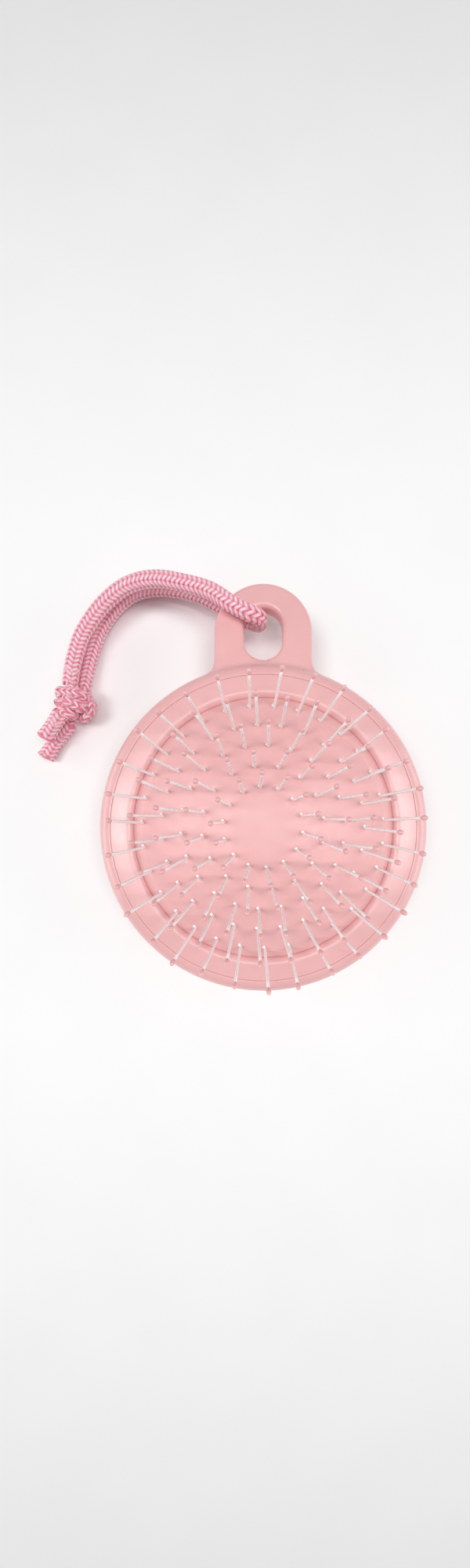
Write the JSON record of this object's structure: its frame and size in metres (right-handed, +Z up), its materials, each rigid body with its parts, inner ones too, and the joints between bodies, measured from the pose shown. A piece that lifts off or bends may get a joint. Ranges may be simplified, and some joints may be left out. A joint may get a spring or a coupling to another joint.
{
  "type": "body dry brush",
  "caption": "Palm-sized round body brush with ball-tipped nylon pins in a domed rubber air cushion, and a slotted hanging tab with a knotted braided cord loop.",
  "frame": {"origin": "centre of the housing's flat back face", "axes": "+Z up out of the front through the pins, +Y from the disc towards the hanging tab, +X to the right seen from the front"},
  "size_m": [0.1348, 0.1429, 0.0404],
  "materials": {
    "shell_plastic": "satin moulded plastic, pale pink",
    "ring_plastic": "satin moulded plastic, pale pink",
    "cushion_rubber": "smooth soft rubber, pale pink",
    "pin_nylon": "milky translucent nylon",
    "tip_resin": "dipped glossy resin, dusty pink",
    "braid_cord": "two-tone braided synthetic cord"
  },
  "bodies": {
    "housing_body": {"housing": "shell_plastic", "retaining_ring": "ring_plastic", "rubber_cushion": "cushion_rubber", "cord_front_leg": "braid_cord", "cord_back_leg": "braid_cord", "cord_knot": "braid_cord", "cord_upper_tail": "braid_cord", "cord_lower_tail": "braid_cord"},
    "pin_ring_1": {"pins_ring_1": "pin_nylon", "ball_tips_1": "tip_resin"},
    "pin_ring_2": {"pins_ring_2": "pin_nylon", "ball_tips_2": "tip_resin"},
    "pin_ring_3": {"pins_ring_3": "pin_nylon", "ball_tips_3": "tip_resin"},
    "pin_ring_4": {"pins_ring_4": "pin_nylon", "ball_tips_4": "tip_resin"},
    "pin_ring_5": {"pins_ring_5": "pin_nylon", "ball_tips_5": "tip_resin"}
  },
  "joints": [
    {"name": "ring_1_press", "type": "slide", "parent": "housing_body", "child": "pin_ring_1", "axis": [0, 0, -1], "range_m": [0, 0.003], "stiffness_N_per_m": 400, "deforming": ["rubber_cushion"]},
    {"name": "ring_2_press", "type": "slide", "parent": "housing_body", "child": "pin_ring_2", "axis": [0, 0, -1], "range_m": [0, 0.00274]},
    {"name": "ring_3_press", "type": "slide", "parent": "housing_body", "child": "pin_ring_3", "axis": [0, 0, -1], "range_m": [0, 0.00235]},
    {"name": "ring_4_press", "type": "slide", "parent": "housing_body", "child": "pin_ring_4", "axis": [0, 0, -1], "range_m": [0, 0.00184]},
    {"name": "ring_5_press", "type": "slide", "parent": "housing_body", "child": "pin_ring_5", "axis": [0, 0, -1], "range_m": [0, 0.00122]}
  ],
  "couplings": [
    {"joint": "ring_2_press", "follows": "ring_1_press", "ratio": 0.9076},
    {"joint": "ring_3_press", "follows": "ring_1_press", "ratio": 0.7766},
    {"joint": "ring_4_press", "follows": "ring_1_press", "ratio": 0.607},
    {"joint": "ring_5_press", "follows": "ring_1_press", "ratio": 0.3987}
  ]
}
